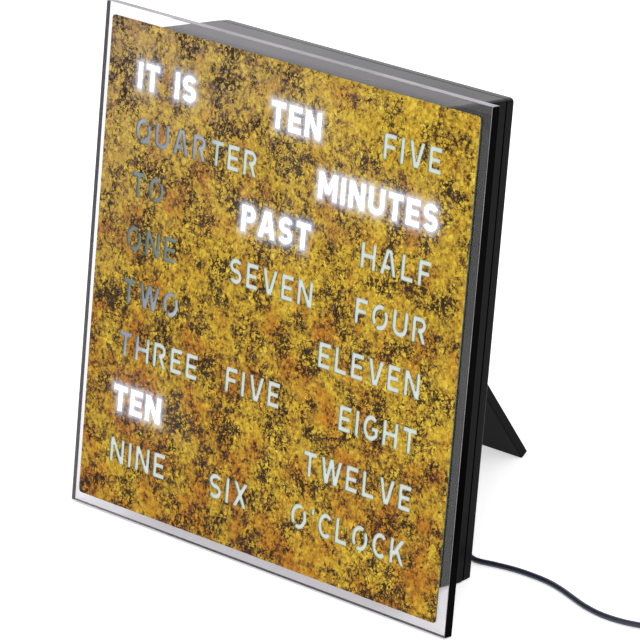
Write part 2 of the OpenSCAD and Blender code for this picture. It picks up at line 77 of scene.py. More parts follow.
def straight_rays(tree):
    """A socket that is 1 where the camera, a mirror or clear plastic looks, and else 0."""
    path = add(tree, "ShaderNodeLightPath")
    pair = add(
        tree,
        "ShaderNodeMath",
        {0: path.outputs["Is Camera Ray"], 1: path.outputs["Is Glossy Ray"]},
        operation="MAXIMUM",
    )
    last = {0: pair.outputs[0], 1: path.outputs["Is Transmission Ray"]}
    return add(tree, "ShaderNodeMath", last, operation="MAXIMUM").outputs[0]


scene = bpy.context.scene
scene.view_settings.view_transform = "Standard"

# the camera stands where the outlines of the pane, the case and the strut fit the photograph
lens = bpy.data.cameras.new("long_lens")
lens.lens = 285
lens.sensor_width = 36
lens.clip_start = 0.1
camera = bpy.data.objects.new("camera", lens)
camera.location = (1.26261, -1.21035, 0.89695)
camera.rotation_euler = [math.radians(a) for a in (64.8343, 5.50097, 44.00141)]
scene.collection.objects.link(camera)
scene.camera = camera

# the walls light the clock at 0.72, and are full white where the eye or a mirror meets them
room = bpy.data.worlds.new("white_room")
room.use_nodes = True
scene.world = room
walls = room.node_tree
white = walls.nodes["Background"]
level = add(
    walls,
    "ShaderNodeMapRange",
    {"Value": straight_rays(walls), "To Min": 0.72, "To Max": 1.0},
)
white.inputs["Color"].default_value = tone("FFFFFF")
walls.links.new(level.outputs["Result"], white.inputs["Strength"])

CLOCK_MIDDLE = Vector((0, 0, 0.1))
for name, place, across, watts in (
    ("soft_box", (0.9, -0.5, 1.5), 1.2, 9.0),
    ("fill_box", (-1.3, -0.9, 1.0), 0.8, 3.0),
):
    lamp = bpy.data.lights.new(name, "AREA")
    lamp.shape = "DISK"
    lamp.size = across
    lamp.energy = watts
    hung = bpy.data.objects.new(name, lamp)
    hung.location = place
    hung.rotation_euler = (CLOCK_MIDDLE - Vector(place)).to_track_quat("-Z", "Y").to_euler()
    scene.collection.objects.link(hung)

# the paper is lifted a little for the eye, so that it is white and still holds a pale shadow
paper, tree, shader = surface("white_paper_sweep", Roughness=0.9, IOR=1.3)
shader.inputs["Base Color"].default_value = tone("FBFBFB")
shader.inputs["Emission Color"].default_value = tone("FFFFFF")
lift = add(tree, "ShaderNodeMath", {0: straight_rays(tree), 1: 0.5}, operation="MULTIPLY")
tree.links.new(lift.outputs[0], shader.inputs["Emission Strength"])
SWEEP_HALF = 6
sweep = bmesh.new()
bmesh.ops.create_grid(sweep, x_segments=1, y_segments=1, size=SWEEP_HALF)
mesh = bpy.data.meshes.new("paper_sweep")
sweep.to_mesh(mesh)
sweep.free()
mesh.materials.append(paper)
floor = bpy.data.objects.new("paper_sweep", mesh)
scene.collection.objects.link(floor)

# ---------------------------------------------------------------------------------------------
# The clear pane: a square of cast acrylic, 200 mm across and 4 mm thick, with its edges
# diamond polished. The sharp arrises are eased by about a quarter of a millimetre.

PANE = 200
PANE_THICK = 4
EASED = 0.22

# The clock's own frame, in millimetres, has X to the right, Y back from the pane's front face
# and Z up from its lower edge. STAND leans it back onto the table and into the shared frame,
# where the pane's lower rear arris touches the table 60.88 mm in front of the middle.
LEAN = math.radians(14.5)
ARRIS = -60.8804
MM = 0.001
STAND = (
    Matrix.Scale(MM, 4)
    @ Matrix.Translation((0, ARRIS, 0))
    @ Matrix.Rotation(-LEAN, 4, "X")
    @ Matrix.Translation((0, -PANE_THICK, 0))
)


def block(made, low, high):
    """A box between two corners, added to a bmesh."""
    low, high = Vector(low), Vector(high)
    place = Matrix.Translation((low + high) / 2) @ Matrix.Diagonal((*(high - low), 1))
    bmesh.ops.create_cube(made, size=1, matrix=place)


def piece(name, made, body, slot, *finishes):
    """Turns a bmesh of the clock's own frame into a piece that rides on one of its bodies."""
    bmesh.ops.transform(made, matrix=STAND, verts=made.verts)
    mesh = bpy.data.meshes.new(name)
    made.to_mesh(mesh)
    made.free()
    for finish in finishes:
        mesh.materials.append(finish)
    obj = bpy.data.objects.new(name, mesh)
    scene.collection.objects.link(obj)
    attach(obj, body)
    return obj


def speckled(name, per_metre, detail, shades, ends=(0, 1), lace=0.5, **inputs):
    """A finish whose colour wanders between two shades, with so many spots to the metre."""
    made, tree, shader = surface(name, **inputs)
    where = add(tree, "ShaderNodeTexCoord")
    spots = add(
        tree,
        "ShaderNodeTexNoise",
        {
            "Vector": where.outputs["Object"],
            "Scale": per_metre,
            "Detail": detail,
            "Roughness": lace,
        },
    )
    shade = add(tree, "ShaderNodeValToRGB", {"Fac": spots.outputs["Fac"]})
    first, last = shade.color_ramp.elements
    first.position, last.position = ends
    first.color, last.color = [tone(code) for code in shades]
    tree.links.new(shade.outputs["Color"], shader.inputs["Base Color"])
    return made, tree, shader, spots, shade


# Acrylic passes nearly all light. It is a little less dense to the eye than glass, and a haze
# of wiping, in patches of 17 mm, hardly dulls it.
acrylic, tree, shader = surface(
    "cast_acrylic_polished", Roughness=0.0, IOR=1.49, Transmission_Weight=1.0
)
shader.inputs["Base Color"].default_value = tone("E8E5EA")
where = add(tree, "ShaderNodeTexCoord")
haze = add(
    tree,
    "ShaderNodeTexNoise",
    {"Vector": where.outputs["Object"], "Scale": 60.0, "Detail": 3.0},
)
wiped = add(
    tree,
    "ShaderNodeMapRange",
    {
        "Value": haze.outputs["Fac"],
        "From Min": 0.45,
        "From Max": 0.75,
        "To Min": 0.0,
        "To Max": 0.03,
    },
)
tree.links.new(wiped.outputs["Result"], shader.inputs["Roughness"])

# The polished edges carry light along inside the sheet. The side and lower ones are painted black,
# a painted reflection of the dark back of the case, which is all that they mirror.
painted_dark_edge, tree, shader, _, tint = speckled(
    "acrylic_edge_dark",
    per_metre=900,
    detail=3,
    shades=("020202", "080708"),
    Roughness=0.2,
    IOR=1.49,
    Specular_IOR_Level=0.01,
)
# painted reflection: from inside the sheet the same edge is painted gray
side_of = add(tree, "ShaderNodeNewGeometry")
inner_reflection = add(
    tree,
    "ShaderNodeMix",
    {0: side_of.outputs["Backfacing"], 6: tint.outputs["Color"], 7: tone("7C7982")},
    data_type="RGBA",
)
tree.links.new(inner_reflection.outputs[2], shader.inputs["Base Color"])

# painted sheen: the upper edge is painted silvery, where it catches the light of the room
painted_sheen_edge = speckled(
    "acrylic_edge_silvery",
    per_metre=35,
    detail=2,
    shades=("7B797E", "A6A2AC"),
    ends=(0.35, 0.65),
    Roughness=0.3,
    IOR=1.49,
)[0]

# the places of the two painted edges in the pane's row of finishes
PAINTED_DARK_EDGE = 1
PAINTED_SHEEN_EDGE = 2
sheet = bmesh.new()
block(sheet, (-PANE / 2, 0, 0), (PANE / 2, PANE_THICK, PANE))
bmesh.ops.bevel(
    sheet, geom=sheet.edges, offset=EASED, segments=2, affect="EDGES", profile=0.5, material=-1
)
for part in sheet.faces:
    if part.normal.z > 0.9:
        part.material_index = PAINTED_SHEEN_EDGE
    elif abs(part.normal.x) > 0.9 or part.normal.z < -0.9:
        part.material_index = PAINTED_DARK_EDGE
    elif part.normal.y < -0.3 and abs(part.normal.x) > 0.3:
        # painted highlight: the eased front arris is painted with a fine bright line down each side
        part.material_index = PAINTED_SHEEN_EDGE
pane = piece(
    "polished_pane", sheet, "clock_case", "clear_acrylic", acrylic, painted_dark_edge, painted_sheen_edge
)
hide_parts("clear_pane")

# ---------------------------------------------------------------------------------------------
# The face plate: 0.4 mm sheet metal with the words cut through it as a stencil, then treated
# until a patina of ochre, brown and near-black specks grows over the gold. It is glued flat on
# the film. Narrow bridges hold the middles of the round letters.

PLATE_MARGIN = 4.5
PLATE_CORNER = 1.5
PLATE_THICK = 0.4
FILM_THICK = 0.3

# Eight rows of words stand about 21 mm apart. A word is given by the edge or middle that is
# placed, its X, its row from the top, and its letters. The words that are lit when the clock
# shows ten past ten come first.
CAP = 9.8
ROWS = (175.1, 153.8, 132.6, 111.3, 90.3, 69.1, 47.3, 26.1)
LIT = (
    ("left", -79, 0, "IT IS"),
    ("middle", 5, 0, "TEN"),
    ("right", 79, 1, "MINUTES"),
    ("middle", -1, 2, "PAST"),
    ("left", -79.6, 6, "TEN"),
)
UNLIT = (
    ("right", 78.4, 0, "FIVE"),
    ("left", -78.6, 1, "QUARTER"),
    ("left", -78.6, 2, "TO"),
    ("right", 78, 2, "HALF"),
    ("left", -79.4, 3, "ONE"),
    ("middle", -1.5, 3, "SEVEN"),
    ("right", 78.4, 3, "FOUR"),
    ("left", -79.4, 4, "TWO"),
    ("right", 77.5, 4, "ELEVEN"),
    ("left", -79.4, 5, "THREE"),
    ("middle", -6.6, 5, "FIVE"),
    ("right", 78, 5, "EIGHT"),
    ("right", 78, 6, "TWELVE"),
    ("left", -80, 7, "NINE"),
    ("middle", -15, 7, "SIX"),
    ("right", 77.4, 7, "O'CLOCK"),
)
TRACKING = 2.3
SPACE = 4.6
STROKE = 1.8
FACET = 11  # degrees of a curve that one straight part spans


def bar(x0, z0, x1, z1):
    """An upright rectangle of a letter."""
    return [(x0, z0), (x1, z0), (x1, z1), (x0, z1)]


def slant(x0, z0, x1, z1):
    """A sloping stroke whose two ends are cut level."""
    half = STROKE / 2 * math.hypot(1, (x1 - x0) / (z1 - z0))
    return [(x0 - half, z0), (x0 + half, z0), (x1 + half, z1), (x1 - half, z1)]


def bow(x, z, wide, high, start, end):
    """A curved stroke, part of an oval ring, between two angles in degrees."""
    count = max(4, round(abs(end - start) / FACET))
    turns = [math.radians(start + (end - start) * i / count) for i in range(count + 1)]
    outer = [(x + wide * math.cos(t), z + high * math.sin(t)) for t in turns]
    wide, high = wide - STROKE, high - STROKE
    inner = [(x + wide * math.cos(t), z + high * math.sin(t)) for t in reversed(turns)]
    return outer + inner


# The alphabet is a plain upright one, drawn 10 high. Each round letter is left open in two
# places, where a bridge of the sheet holds its middle.
STEM = bar(0, 0, STROKE, 10)
HEAD = bar(0, 10 - STROKE, 6.3, 10)
FOOT = bar(0, 0, 6.3, STROKE)
WAIST = bar(0, 4.2, 5.7, 5.85)
OVAL = [bow(4.2, 5, 4.2, 5, 62, 226), bow(4.2, 5, 4.2, 5, 244, 402)]
BOWL = [
    bar(0, 10 - STROKE, 3.9, 10),
    bow(3.9, 6.95, 3.0, 3.05, -90, 90),
    bar(2.75, 3.9, 3.9, 3.9 + STROKE),
]
ALPHABET = {
    "A": [slant(1.0, 0, 3.7, 10), slant(7.5, 0, 4.8, 10), bar(2.2, 2.2, 5.2, 3.9)],
    "C": [bow(4.0, 5, 4.0, 5, 45, 315)],
    "E": [STEM, HEAD, FOOT, WAIST],
    "F": [STEM, HEAD, WAIST],
    "G": [bow(4.0, 5, 4.0, 5, 45, 318), bar(4.3, 3.9, 7.8, 5.5), bar(6.0, 1.7, 7.8, 5.5)],
    "H": [STEM, bar(0, 4.2, 7.7, 5.9), bar(7.7 - STROKE, 0, 7.7, 10)],
    "I": [STEM],
    "K": [STEM, slant(1.8, 3.4, 6.2, 10), slant(6.7, 0, 3.4, 5.9)],
    "L": [STEM, FOOT],
    "M": [STEM, slant(4.7, 2.4, 1.1, 10), slant(4.7, 2.4, 8.3, 10), bar(7.6, 0, 9.4, 10)],
    "N": [STEM, slant(6.8, 0, 1.1, 10), bar(7.9 - STROKE, 0, 7.9, 10)],
    "O": OVAL,
    "P": [STEM, *BOWL],
    "Q": [*OVAL, slant(7.4, 0, 5.6, 2.8)],
    "R": [STEM, *BOWL, slant(6.3, 0, 4.1, 4.6)],
    "S": [bow(3.4, 7.05, 3.4, 2.95, 30, 270), bow(3.4, 2.95, 3.4, 2.95, -150, 90)],
    "T": [bar(0, 10 - STROKE, 7.0, 10), bar(2.6, 0, 4.4, 10)],
    "U": [bar(0, 3.6, STROKE, 10), bow(3.85, 3.6, 3.85, 3.6, 180, 360), bar(5.9, 3.6, 7.7, 10)],
    "V": [slant(3.6, 0, 0.95, 10), slant(4.3, 0, 6.95, 10)],
    "W": [
        slant(3.0, 0, 0.95, 10),
        slant(3.3, 0, 5.3, 10),
        slant(7.7, 0, 5.7, 10),
        slant(8.0, 0, 10.05, 10),
    ],
    "X": [slant(0.95, 0, 6.5, 10), slant(6.5, 0, 0.95, 10)],
    "'": [bar(0, 7.3, 1.5, 10)],
}


def spell(words):
    """The strokes of some words where they are cut, and each word's box in X and Z."""
    strokes, boxes = [], []
    for edge, x, row, word in words:
        z = ROWS[row]
        widths = [
            SPACE if c == " " else max(p[0] for part in ALPHABET[c] for p in part) * CAP / 10
            for c in word
        ]
        total = sum(widths) + TRACKING * (len(word) - 1)
        at = x - {"left": 0, "middle": total / 2, "right": total}[edge]
        boxes.append((at, at + total, z - CAP / 2, z + CAP / 2))
        for char, width in zip(word, widths):
            for part in ALPHABET.get(char, []):
                strokes.append([(at + px * CAP / 10, z + (pz / 10 - 0.5) * CAP) for px, pz in part])
            at += width + TRACKING
    return strokes, boxes


lit_strokes, lit_boxes = spell(LIT)
dark_strokes = spell(UNLIT)[0]

# The outline of the sheet comes first, with six straight parts round each corner.
CORNER_PARTS = 6
inset = PLATE_MARGIN + PLATE_CORNER
right, upper = PANE / 2 - inset, PANE - inset
corners = []
for cx, cz, turn in (
    (right, upper, 0),
    (-right, upper, 90),
    (-right, inset, 180),
    (right, inset, 270),
):
    for i in range(CORNER_PARTS + 1):
        angle = math.radians(turn + 90 * i / CORNER_PARTS)
        corners.append((cx + PLATE_CORNER * math.cos(angle), cz + PLATE_CORNER * math.sin(angle)))
outlines = [corners] + lit_strokes + dark_strokes
# Loose points every half millimetre, up to 4 mm round the lit words, carry the painted glow
# of the light that spills over their edges.
SPILL_REACH = 4
SPILL_STEP = 0.5
spill = [
    (x0 - SPILL_REACH + SPILL_STEP * i, z0 - SPILL_REACH + SPILL_STEP * k)
    for x0, x1, z0, z1 in lit_boxes
    for i in range(int((x1 - x0 + 2 * SPILL_REACH) / SPILL_STEP) + 1)
    for k in range(int((z1 - z0 + 2 * SPILL_REACH) / SPILL_STEP) + 1)
]
spill = [(x, z) for x, z in spill if abs(x) < PANE / 2 - PLATE_MARGIN - SPILL_STEP]
points = [Vector(p) for outline in outlines for p in outline]
borders, count = [], 0
for outline in outlines:
    borders.append(list(range(count, count + len(outline))))
    count += len(outline)
points += [Vector(p) for p in spill]
ALL_TRIANGLES = 0
SAME_POINT = 0.0001
cut = delaunay_2d_cdt(points, [], borders, ALL_TRIANGLES, SAME_POINT)
flat, triangles, from_borders = cut[0], cut[2], cut[5]

CUT_EDGE = 1  # its place in the plate's row of finishes
plate = bmesh.new()
spilled = plate.verts.layers.float.new("spilled_light")
# how far each point is from the nearest lit stroke, in millimetres, sets how much painted glow it
# has
lamp_tree = bvhtree.BVHTree.FromPolygons(
    [(p[0], p[1], 0) for stroke in lit_strokes for p in stroke],
    [[i - len(corners) for i in border] for border in borders[1 : 1 + len(lit_strokes)]],
)
corner_of = []
for x, z in flat:
    made = plate.verts.new((x, -FILM_THICK - PLATE_THICK, z))
    gap = lamp_tree.find_nearest((x, z, 0))[3]
    made[spilled] = math.exp(-gap)
    corner_of.append(made)
# a triangle that lies in the sheet's outline alone, and in no stroke, is metal
for triangle, borders_in in zip(triangles, from_borders):
    if borders_in == [0]:
        plate.faces.new([corner_of[i] for i in triangle])
bmesh.ops.delete(plate, geom=[v for v in plate.verts if not v.link_faces], context="VERTS")
bmesh.ops.recalc_face_normals(plate, faces=plate.faces)
bmesh.ops.solidify(plate, geom=plate.faces[:], thickness=PLATE_THICK)
bmesh.ops.recalc_face_normals(plate, faces=plate.faces)
for part in plate.faces:
    if abs(part.normal.y) < 0.5:
        part.material_index = CUT_EDGE


def upright_millimetres(tree):
    """Object coordinates turned upright, in millimetres. Y is the clock's own less 62.94, and
    Z the clock's own less 15.24."""
    where = add(tree, "ShaderNodeTexCoord")
    return add(
        tree,
        "ShaderNodeMapping",
        {"Vector": where.outputs["Object"], "Rotation": (LEAN, 0, 0), "Scale": (1000, 1000, 1000)},
    )


# Patina on gilt metal: little of it shines like metal, because the oxide on it is dull. All
# patterns are in the clock's own millimetres, and each scale is one over the size of its spots.
patina, tree, shader = surface(
    "gilt_metal_patinated", Metallic=0.3, Roughness=0.55, IOR=1.5, Specular_IOR_Level=0.25
)
upright = upright_millimetres(tree)
# The gilding has broken up into ragged grains: near-black cracks, brown edges, ochre and gold.
# A warp of about a millimetre makes the outlines of the grains uneven.
ripple = add(
    tree,
    "ShaderNodeTexNoise",
    {"Vector": upright.outputs[0], "Scale": 1 / 1.6, "Detail": 2.0, "Roughness": 0.6},
)
warped = add(
    tree,
    "ShaderNodeVectorMath",
    {0: ripple.outputs["Color"], 1: (1.6, 1.6, 1.6), 2: upright.outputs[0]},
    operation="MULTIPLY_ADD",
)
grains = []
for across, weight in ((2.4, 0.12), (1.0, 0.28)):
    grain = add(
        tree,
        "ShaderNodeTexVoronoi",
        {"Vector": warped.outputs[0], "Scale": 1 / across},
    )
    grains.append(
        add(
            tree,
            "ShaderNodeMath",
            {0: grain.outputs["Color"], 1: weight, 2: -weight / 2},
            operation="MULTIPLY_ADD",
        )
    )
leaf = add(
    tree,
    "ShaderNodeTexNoise",
    {"Vector": upright.outputs[0], "Scale": 1 / 4, "Detail": 4.0, "Roughness": 0.8},
)
# the tarnish has eaten in by patches of 10 to 20 mm, and between them the gilding lies calm
patches = add(
    tree,
    "ShaderNodeTexNoise",
    {"Vector": upright.outputs[0], "Scale": 1 / 13, "Detail": 5.0, "Roughness": 0.65},
)
eaten = add(
    tree,
    "ShaderNodeMapRange",
    {
        "Value": patches.outputs["Fac"],
        "From Min": 0.42,
        "From Max": 0.58,
        "To Min": 0.65,
        "To Max": 1.25,
    },
)
rise = add(tree, "ShaderNodeMath", {0: leaf.outputs["Fac"], 1: -0.5}, operation="ADD")
rough = add(
    tree,
    "ShaderNodeMath",
    {0: rise.outputs[0], 1: eaten.outputs["Result"], 2: 0.5},
    operation="MULTIPLY_ADD",
)
calm = add(
    tree,
    "ShaderNodeMath",
    {0: patches.outputs["Fac"], 1: -0.24, 2: 0.12},
    operation="MULTIPLY_ADD",
)
# broad clouds about 26 mm across make some parts darker than others
clouds = add(
    tree,
    "ShaderNodeTexNoise",
    {"Vector": upright.outputs[0], "Scale": 1 / 26, "Detail": 4.0, "Roughness": 0.6},
)
lowered = add(
    tree,
    "ShaderNodeMath",
    {0: clouds.outputs["Fac"], 1: 0.2, 2: -0.1},
    operation="MULTIPLY_ADD",
)
# handling has kept the upper right bright, and the lower left is the most tarnished: a share
# for each millimetre, which is nought at the middle of the plate
worn = add(
    tree,
    "ShaderNodeVectorMath",
    {0: upright.outputs[0], 1: (0.0002, 0.0, 0.00006)},
    operation="DOT_PRODUCT",
)
kept = add(tree, "ShaderNodeMath", {0: worn.outputs["Value"], 1: -0.0051}, operation="ADD")
aged = rough.outputs[0]
for share in (calm, lowered, kept, *grains):
    aged = add(tree, "ShaderNodeMath", {0: aged, 1: share.outputs[0]}).outputs[0]
gold = add(tree, "ShaderNodeValToRGB", {"Fac": aged})
ramp = gold.color_ramp
ramp.elements[0].position = 0.28
ramp.elements[0].color = tone("3A240A")
ramp.elements[1].position = 0.76
ramp.elements[1].color = tone("EED24C")
for position, code in (
    (0.36, "644610"),
    (0.41, "8E6A1A"),
    (0.46, "AE8820"),
    (0.52, "BE9A22"),
    (0.6, "D0AC28"),
):
    ramp.elements.new(position).color = tone(code)
# some parts lean towards orange, most of all low on the plate
warm = add(
    tree,
    "ShaderNodeTexNoise",
    {"Vector": upright.outputs[0], "Scale": 1 / 15, "Detail": 5.0, "Roughness": 0.6},
)
lower = add(
    tree,
    "ShaderNodeVectorMath",
    {0: upright.outputs[0], 1: (0.0, 0.0, -0.0007)},
    operation="DOT_PRODUCT",
)
leaning = add(tree, "ShaderNodeMath", {0: warm.outputs["Fac"], 1: lower.outputs["Value"]})
orange = add(tree, "ShaderNodeValToRGB", {"Fac": leaning.outputs[0]})
orange.color_ramp.elements[0].position = 0.42
orange.color_ramp.elements[0].color = tone("FFFFFF")
orange.color_ramp.elements[1].position = 0.6
orange.color_ramp.elements[1].color = tone("E8B478")
tinted = add(
    tree,
    "ShaderNodeMix",
    {0: 0.9, 6: gold.outputs["Color"], 7: orange.outputs["Color"]},
    data_type="RGBA",
    blend_type="MULTIPLY",
)
# painted sheen: a pale sheen of light is painted over the upper left
far = add(
    tree,
    "ShaderNodeVectorMath",
    {0: upright.outputs[0], 1: (-0.0022, 0.0, 0.003)},
    operation="DOT_PRODUCT",
)
painted_sheen = add(
    tree,
    "ShaderNodeMapRange",
    {
        "Value": far.outputs["Value"],
        "From Min": 0.4,
        "From Max": 0.7,
        "To Min": 0.0,
        "To Max": 0.28,
    },
)
sheen_mixed = add(
    tree,
    "ShaderNodeMix",
    {0: painted_sheen.outputs["Result"], 6: tinted.outputs[2], 7: tone("A8958E")},
    data_type="RGBA",
)
# fine cracks and dark specks gather in the eaten patches
specks = add(
    tree,
    "ShaderNodeTexNoise",
    {
        "Vector": upright.outputs[0],
        "Scale": 1 / 1.5,
        "Detail": 2.0,
        "Roughness": 0.55,
        "Distortion": 0.7,
    },
)
both = add(
    tree,
    "ShaderNodeMath",
    {0: patches.outputs["Fac"], 1: 0.9, 2: specks.outputs["Fac"]},
    operation="MULTIPLY_ADD",
)
dark = add(
    tree,
    "ShaderNodeMapRange",
    {"Value": both.outputs[0], "From Min": 1.07, "From Max": 1.09, "To Min": 0.0, "To Max": 0.92},
)
stained = add(
    tree,
    "ShaderNodeMix",
    {0: dark.outputs["Result"], 6: sheen_mixed.outputs[2], 7: tone("35240C")},
    data_type="RGBA",
)
# the cracks run round flakes of 2.8 mm, whose net is bent so that it looks like no grid
bent = add(
    tree,
    "ShaderNodeVectorMath",
    {0: patches.outputs["Color"], 1: (9.0, 9.0, 9.0), 2: warped.outputs[0]},
    operation="MULTIPLY_ADD",
)
flakes = add(
    tree,
    "ShaderNodeTexVoronoi",
    {"Vector": bent.outputs[0], "Scale": 1 / 2.8},
    feature="DISTANCE_TO_EDGE",
)
gaps = add(
    tree,
    "ShaderNodeMapRange",
    {
        "Value": flakes.outputs["Distance"],
        "From Min": 0.03,
        "From Max": 0.09,
        "To Min": 1.0,
        "To Max": 0.0,
    },
)
where_cracked = add(
    tree,
    "ShaderNodeMapRange",
    {
        "Value": patches.outputs["Fac"],
        "From Min": 0.44,
        "From Max": 0.57,
        "To Min": 0.1,
        "To Max": 1.0,
    },
)
cracks = add(
    tree,
    "ShaderNodeMath",
    {0: gaps.outputs["Result"], 1: where_cracked.outputs["Result"]},
    operation="MULTIPLY",
)
crazed = add(
    tree,
    "ShaderNodeMix",
    {0: cracks.outputs[0], 6: stained.outputs[2], 7: tone("22170A")},
    data_type="RGBA",
)
# painted glow: the light that spills from the lit words over the sheet next to them is painted
# into its colour and its emission, and hides its colour
halo = add(tree, "ShaderNodeAttribute", attribute_name="spilled_light")
veil = add(tree, "ShaderNodeMath", {0: halo.outputs["Fac"], 1: 0.9}, operation="MULTIPLY")
veiled = add(
    tree,
    "ShaderNodeMix",
    {0: veil.outputs[0], 6: crazed.outputs[2], 7: tone("AEB6C8")},
    data_type="RGBA",
)
tree.links.new(veiled.outputs[2], shader.inputs["Base Color"])
# the oxide is dull, the gilt between it has some lustre
dull = add(
    tree,
    "ShaderNodeMapRange",
    {"Value": dark.outputs["Result"], "To Min": 0.5, "To Max": 0.85},
)
tree.links.new(dull.outputs["Result"], shader.inputs["Roughness"])
relief = add(
    tree,
    "ShaderNodeBump",
    {"Height": leaf.outputs["Fac"], "Strength": 0.3, "Distance": 0.0003},
)
tree.links.new(relief.outputs["Normal"], shader.inputs["Normal"])
# painted glow: the sheet itself gives off the spilled light, a cool white
shader.inputs["Emission Color"].default_value = tone("E4EAFF")
painted_light_spread = add(tree, "ShaderNodeMath", {0: halo.outputs["Fac"], 1: 0.5}, operation="MULTIPLY")
tree.links.new(painted_light_spread.outputs[0], shader.inputs["Emission Strength"])

# the cut edges have gone green, as copper alloys do, and carry a painted glow where a lit word is
# close
verdigris, tree, shader = speckled(
    "verdigris_cut_edge",
    per_metre=700,
    detail=3,
    shades=("3F5A48", "86A893"),
    ends=(0.35, 0.65),
    Metallic=0.2,
    Roughness=0.6,
    IOR=1.5,
)[:3]
shader.inputs["Emission Color"].default_value = tone("E4EAFF")
halo = add(tree, "ShaderNodeAttribute", attribute_name="spilled_light")
painted_light_spread = add(tree, "ShaderNodeMath", {0: halo.outputs["Fac"], 1: 3.0}, operation="MULTIPLY")
tree.links.new(painted_light_spread.outputs[0], shader.inputs["Emission Strength"])

face = piece("stencil_plate", plate, "clock_case", "gold_patina", patina, verdigris)
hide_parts("face_plate")

# ---------------------------------------------------------------------------------------------
# The opal film: a thin white sheet under the plate that spreads the light of the cell behind.
# It glows white behind the words that are lit, and looks pale and cool where it is not.

# unlit, the film has a satin gray white, as drawing film has
opal, tree, shader = surface("opal_polyester_film", Roughness=0.35, IOR=1.57)
where = add(tree, "ShaderNodeTexCoord")
# painted shade: the film behind rows two to five is painted darker, at the left most of all,
# in a slanting oval with its middle and its half widths in metres
painted_shade_oval = add(
    tree,
    "ShaderNodeMapping",
    {
        "Vector": where.outputs["Object"],
        "Location": (-0.072, 0.0, 0.1095),
        "Rotation": (0.0, math.radians(35), 0.0),
        "Scale": (0.068, 1000.0, 0.096),
    },
    vector_type="TEXTURE",
)
reach = add(tree, "ShaderNodeVectorMath", {0: painted_shade_oval.outputs[0]}, operation="LENGTH")
drift = add(
    tree,
    "ShaderNodeTexNoise",
    {"Vector": where.outputs["Object"], "Scale": 30.0, "Detail": 2.0},
)
mixed = add(
    tree,
    "ShaderNodeMath",
    {0: drift.outputs["Fac"], 1: 0.5, 2: reach.outputs["Value"]},
    operation="MULTIPLY_ADD",
)
pale = add(tree, "ShaderNodeValToRGB", {"Fac": mixed.outputs[0]})
pale.color_ramp.elements[0].position = 0.45
pale.color_ramp.elements[0].color = tone("6E7A74")
pale.color_ramp.elements[1].position = 0.86
pale.color_ramp.elements[1].color = tone("DCE6E1")
pale.color_ramp.elements.new(0.69).color = tone("959BAF")
tree.links.new(pale.outputs["Color"], shader.inputs["Base Color"])

# lit, it is as white as a lamp, with the cool cast of white LEDs
shining, tree, shader = surface(
    "opal_polyester_film_lit", Roughness=0.35, IOR=1.57, Emission_Strength=3.0
)
shader.inputs["Base Color"].default_value = tone("F4F7FA")
shader.inputs["Emission Color"].default_value = tone("F3F7FF")

# A hair of air behind the sheet keeps its rear face apart from the pane's front face. Cells of
# light reach 2 mm past each lit word, and the sheet is divided along their walls.
LIT_FILM = 1  # its place in the film's row of finishes
FILM_MARGIN = 5
AIR = 0.02
CELL_REACH = 2
cells = [
    (x0 - CELL_REACH, x1 + CELL_REACH, z0 - CELL_REACH, z1 + CELL_REACH)
    for x0, x1, z0, z1 in lit_boxes
]
edge = PANE / 2 - FILM_MARGIN
film = bmesh.new()
block(film, (-edge, -FILM_THICK, FILM_MARGIN), (edge, -AIR, PANE - FILM_MARGIN))
for x0, x1, z0, z1 in cells:
    for point, normal in (
        ((x0, 0, 0), (1, 0, 0)),
        ((x1, 0, 0), (1, 0, 0)),
        ((0, 0, z0), (0, 0, 1)),
        ((0, 0, z1), (0, 0, 1)),
    ):
        bmesh.ops.bisect_plane(
            film,
            geom=film.verts[:] + film.edges[:] + film.faces[:],
            plane_co=point,
            plane_no=normal,
        )
for part in film.faces:
    x, _, z = part.calc_center_median()
    inside = any(x0 < x < x1 and z0 < z < z1 for x0, x1, z0, z1 in cells)
    if inside and part.normal.y < -0.5:
        part.material_index = LIT_FILM
backing = piece("opal_film", film, "clock_case", "opal_film", opal, shining)
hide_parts("diffuser_film")

# ---------------------------------------------------------------------------------------------
# The bonding tape: a frame of black closed-cell acrylic foam, 1 mm thick, that holds the case
# to the pane. Its cut edge is matt and finely porous.

foam = speckled(
    "black_acrylic_foam_tape",
    per_metre=3000,
    detail=2,
    shades=("080808", "1A1A1B"),
    Roughness=0.85,
    IOR=1.45,
)[0]


def dress(finish, *names):
    """Gives CAD nodes their real finish."""
    for name in names:
        nodes[name].data.materials.clear()
        nodes[name].data.materials.append(finish)


dress(foam, "bonding_tape")

# ---------------------------------------------------------------------------------------------
# The light grid: one white moulding whose walls keep each word's light to itself. The board
# behind it is green glass laminate with the LEDs on its front.

# moulded ABS straight from a smooth tool: white, satin and even
moulding = speckled(
    "white_abs_moulded",
    per_metre=1500,
    detail=2,
    shades=("E2E2DE", "EFEFEC"),
    Roughness=0.5,
    IOR=1.53,
)[0]
dress(moulding, "light_grid", "lead_socket", "plug_tongue", "hour_plunger", "minute_plunger")

# solder lacquer over woven glass, dark green and rather glossy
laminate = speckled(
    "green_glass_epoxy_laminate",
    per_metre=900,
    detail=1,
    shades=("0B4A26", "12602F"),
    Roughness=0.3,
    IOR=1.55,
)[0]
dress(laminate, "led_board")

# the phosphor in their clear silicone makes white LEDs look pale yellow when they are off
phosphor = speckled(
    "led_package_silicone",
    per_metre=2500,
    detail=1,
    shades=("E8DDA0", "F6F2DC"),
    Roughness=0.35,
    IOR=1.45,
)[0]
dress(phosphor, "leds")

# ---------------------------------------------------------------------------------------------
# The clock circuit: chips in moulded epoxy, a drawn crystal can, two capacitors in cans and two
# push switches, all soldered to the back of the board, which screws hold to the grid.

# filled epoxy comes out of its mould matt and nearly black
epoxy = speckled(
    "black_epoxy_moulded",
    per_metre=4000,
    detail=2,
    shades=("121213", "222324"),
    Roughness=0.6,
    IOR=1.55,
)[0]
dress(epoxy, "controller_chip", "driver_chips", "key_switches")

